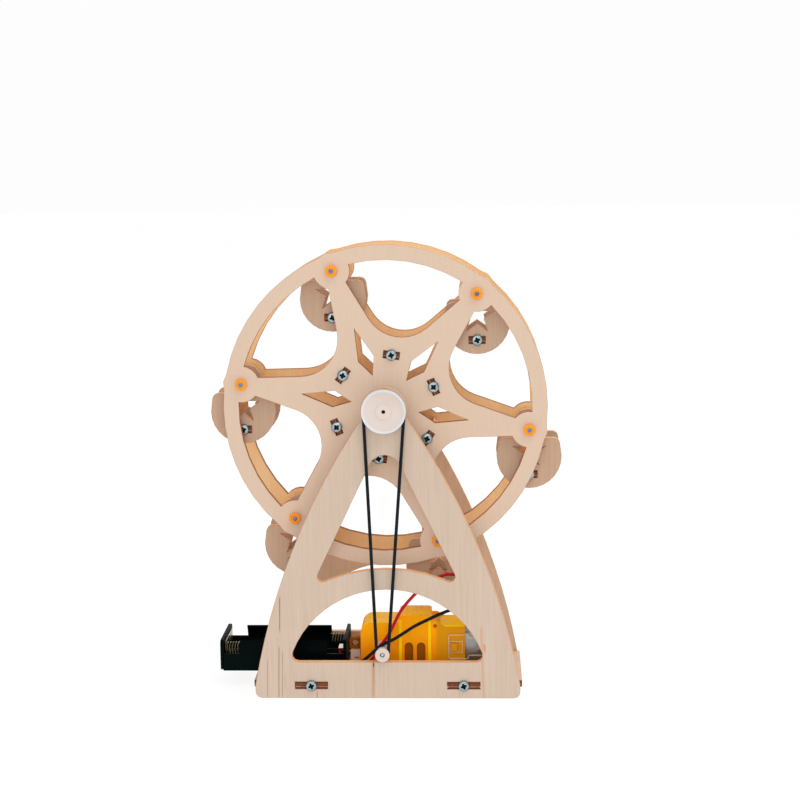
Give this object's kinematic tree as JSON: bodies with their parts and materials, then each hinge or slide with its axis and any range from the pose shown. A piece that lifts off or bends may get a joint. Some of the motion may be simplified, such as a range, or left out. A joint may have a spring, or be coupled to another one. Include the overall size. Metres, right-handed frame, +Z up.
{
  "type": "motorised model ferris wheel",
  "caption": "Model ferris wheel of laser-cut plywood: hanging gondolas on a spoked double wheel between two A-frames, turned by a geared motor, belt and battery holder.",
  "frame": {"origin": "on the floor, under the middle of the axle", "axes": "+Z up; +Y from the belt side to the back, along the axle; +X from the battery holder to the motor"},
  "size_m": [0.161, 0.062, 0.2079],
  "materials": {
    "plywood": "bare laser-cut birch plywood with browned edges",
    "zinc": "bright zinc plating",
    "steel": "plain bright steel",
    "contact_metal": "thin plated contact strip",
    "white_plastic": "white moulded plastic",
    "orange_caps": "orange moulded plastic, glossy",
    "gearbox_plastic": "yellow-orange moulded plastic, glossy",
    "black_plastic": "black moulded plastic",
    "clear_plastic": "thin clear sheet",
    "belt_rubber": "black round rubber",
    "red_insulation": "red wire insulation",
    "black_insulation": "black wire insulation",
    "foam": "white foam tape"
  },
  "bodies": {
    "base": {"front_frame": "plywood", "back_frame": "plywood", "base_board": "plywood", "base_bolt_1": "zinc", "base_bolt_2": "zinc", "base_bolt_3": "zinc", "base_bolt_4": "zinc", "gearbox_front": "gearbox_plastic", "gearbox_back": "gearbox_plastic", "motor_can": "steel", "motor_end_cap": "white_plastic", "motor_strap": "clear_plastic", "motor_tape": "foam", "ear_block": "plywood", "battery_holder": "black_plastic", "contact_front": "contact_metal", "contact_back": "contact_metal", "contact_bridge": "contact_metal", "spring_front": "zinc", "spring_back": "zinc", "red_lead": "red_insulation", "black_lead": "black_insulation", "drive_belt": "belt_rubber"},
    "wheel": {"wheel_front": "plywood", "wheel_back": "plywood", "hub_spacer_1": "plywood", "hub_spacer_2": "plywood", "hub_spacer_3": "plywood", "hub_spacer_4": "plywood", "hub_spacer_5": "plywood", "hub_spacer_6": "plywood", "axle": "steel", "drive_pulley": "white_plastic", "gondola_rod_1": "orange_caps", "gondola_rod_2": "orange_caps", "gondola_rod_3": "orange_caps", "gondola_rod_4": "orange_caps", "gondola_rod_5": "orange_caps", "gondola_rod_6": "orange_caps"},
    "driver": {"output_shaft": "white_plastic", "shaft_pulley": "white_plastic", "output_gear": "white_plastic"},
    "gondola_1": {"gondola_1_front": "plywood", "gondola_1_back": "plywood", "gondola_1_seat": "plywood"},
    "gondola_2": {"gondola_2_front": "plywood", "gondola_2_back": "plywood", "gondola_2_seat": "plywood"},
    "gondola_3": {"gondola_3_front": "plywood", "gondola_3_back": "plywood", "gondola_3_seat": "plywood"},
    "gondola_4": {"gondola_4_front": "plywood", "gondola_4_back": "plywood", "gondola_4_seat": "plywood"},
    "gondola_5": {"gondola_5_front": "plywood", "gondola_5_back": "plywood", "gondola_5_seat": "plywood"},
    "gondola_6": {"gondola_6_front": "plywood", "gondola_6_back": "plywood", "gondola_6_seat": "plywood"}
  },
  "joints": [
    {"name": "wheel_spin", "type": "hinge", "parent": "base", "child": "wheel", "pos_m": [0, 0, 0.134], "axis": [0, 1, 0], "continuous": true},
    {"name": "driver_spin", "type": "hinge", "parent": "base", "child": "driver", "pos_m": [-0.002, 0, 0.0215], "axis": [0, 1, 0], "continuous": true},
    {"name": "gondola_1_swing", "type": "hinge", "parent": "wheel", "child": "gondola_1", "pos_m": [0.06563, 0, 0.12325], "axis": [0, 1, 0], "continuous": true},
    {"name": "gondola_2_swing", "type": "hinge", "parent": "wheel", "child": "gondola_2", "pos_m": [0.04212, 0, 0.18546], "axis": [0, 1, 0], "continuous": true},
    {"name": "gondola_3_swing", "type": "hinge", "parent": "wheel", "child": "gondola_3", "pos_m": [-0.02351, 0, 0.19621], "axis": [0, 1, 0], "continuous": true},
    {"name": "gondola_4_swing", "type": "hinge", "parent": "wheel", "child": "gondola_4", "pos_m": [-0.06563, 0, 0.14475], "axis": [0, 1, 0], "continuous": true},
    {"name": "gondola_5_swing", "type": "hinge", "parent": "wheel", "child": "gondola_5", "pos_m": [-0.04212, 0, 0.08254], "axis": [0, 1, 0], "continuous": true},
    {"name": "gondola_6_swing", "type": "hinge", "parent": "wheel", "child": "gondola_6", "pos_m": [0.02351, 0, 0.07179], "axis": [0, 1, 0], "continuous": true}
  ],
  "couplings": [
    {"joint": "driver_spin", "follows": "wheel_spin", "ratio": 3.5385}
  ]
}
